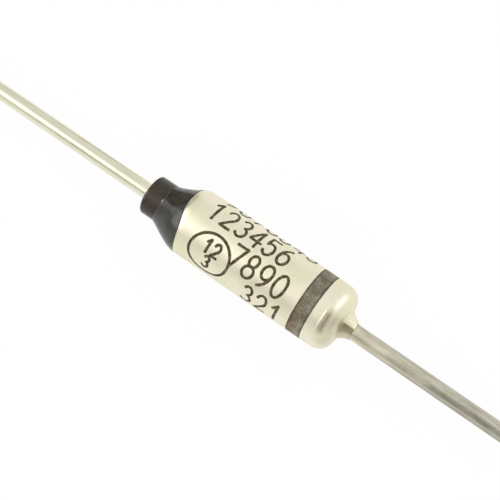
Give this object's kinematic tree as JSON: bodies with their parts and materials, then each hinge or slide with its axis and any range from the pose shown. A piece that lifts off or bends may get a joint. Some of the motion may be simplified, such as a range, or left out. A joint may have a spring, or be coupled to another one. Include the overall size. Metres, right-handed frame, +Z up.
{
  "type": "thermal fuse",
  "caption": "Axial thermal fuse: plated case with a curled mouth, ceramic bushing, resin seal and wire leads, holding a pellet, springs and a sliding star contact.",
  "frame": {"origin": "on the axis, half way between the two lead ends", "axes": "+X along the axis towards the lead staked into the case, +Z up through the marked side, +Y across"},
  "size_m": [0.082, 0.0042, 0.0042],
  "materials": {
    "plated_case": "satin plate with a warm champagne tone",
    "tinned_wire": "dull tinned wire with fine draw lines",
    "silvered_wire": "bright silvered wire",
    "brown_ceramic": "fine unglazed dark brown ceramic",
    "dark_resin": "glossy grey-green black resin, laid on by hand",
    "pellet_compound": "pressed organic compound, matt",
    "pressed_brass": "pressed brass",
    "silver_sheet": "silver-clad spring sheet",
    "spring_steel": "drawn spring wire",
    "marking_ink": "dark olive-brown marking, slightly uneven"
  },
  "bodies": {
    "root": {"case": "plated_case", "case_lead": "tinned_wire", "isolated_lead": "silvered_wire", "bushing": "brown_ceramic", "resin_seal": "dark_resin", "thermal_pellet": "pellet_compound", "pellet_disc": "pressed_brass", "contact_disc": "pressed_brass", "star_contact": "silver_sheet", "bias_spring": "spring_steel", "trip_spring": "spring_steel"}
  },
  "joints": []
}
